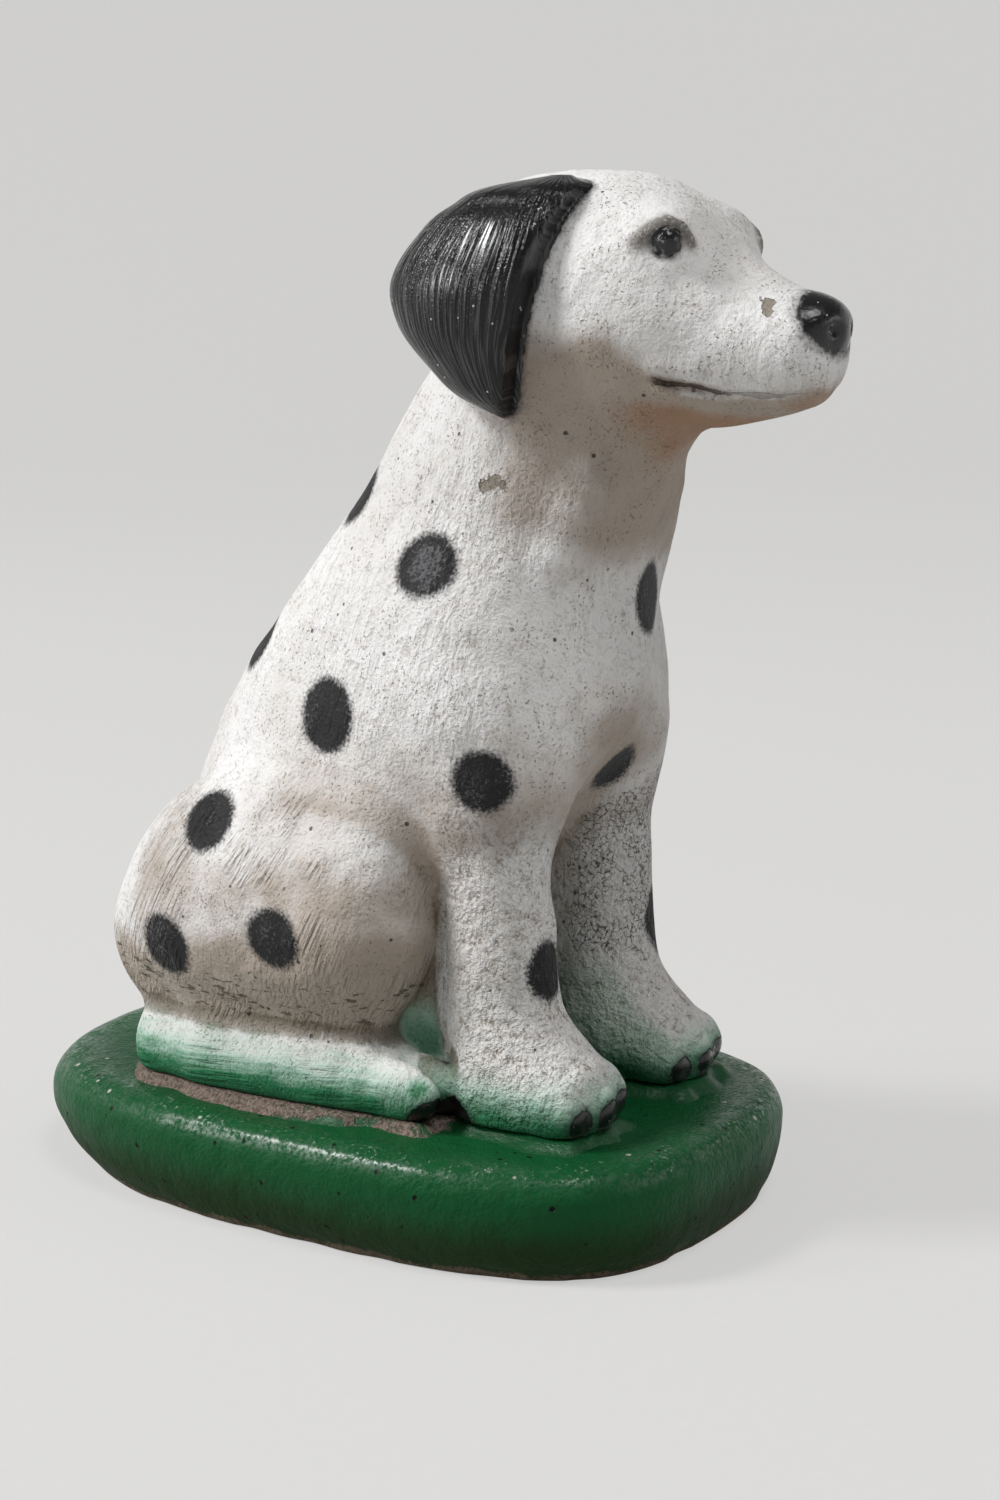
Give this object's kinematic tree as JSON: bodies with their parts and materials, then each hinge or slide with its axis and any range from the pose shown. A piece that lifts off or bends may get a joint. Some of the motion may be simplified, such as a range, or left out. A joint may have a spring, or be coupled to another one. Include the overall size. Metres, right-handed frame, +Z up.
{
  "type": "concrete dog statue",
  "caption": "Small painted concrete statue of a sitting dog with hanging ears, set in mortar on a plinth with a rounded plan; a garden or doorstep ornament, also used as a door stop.",
  "frame": {"origin": "middle of the plinth's underside, on the surface that the statue stands on", "axes": "+Z up, the dog faces -Y, its right side is -X"},
  "size_m": [0.112, 0.1865, 0.2113],
  "materials": {
    "plinth_paint": "glossy brushed green paint on cast concrete, dirty and worn at the edges",
    "bare_mortar": "bare sandy cement mortar",
    "white_paint": "matt brushed white paint on cast concrete, with sprayed black spots and glossy black ears, nose, eyes and claws",
    "steel": "plain drawn steel with light rust"
  },
  "bodies": {
    "root": {"plinth": "plinth_paint", "mortar_bed": "bare_mortar", "dog_casting": "white_paint", "spine_rod": "steel", "right_foreleg_rod": "steel", "left_foreleg_rod": "steel"}
  },
  "joints": []
}
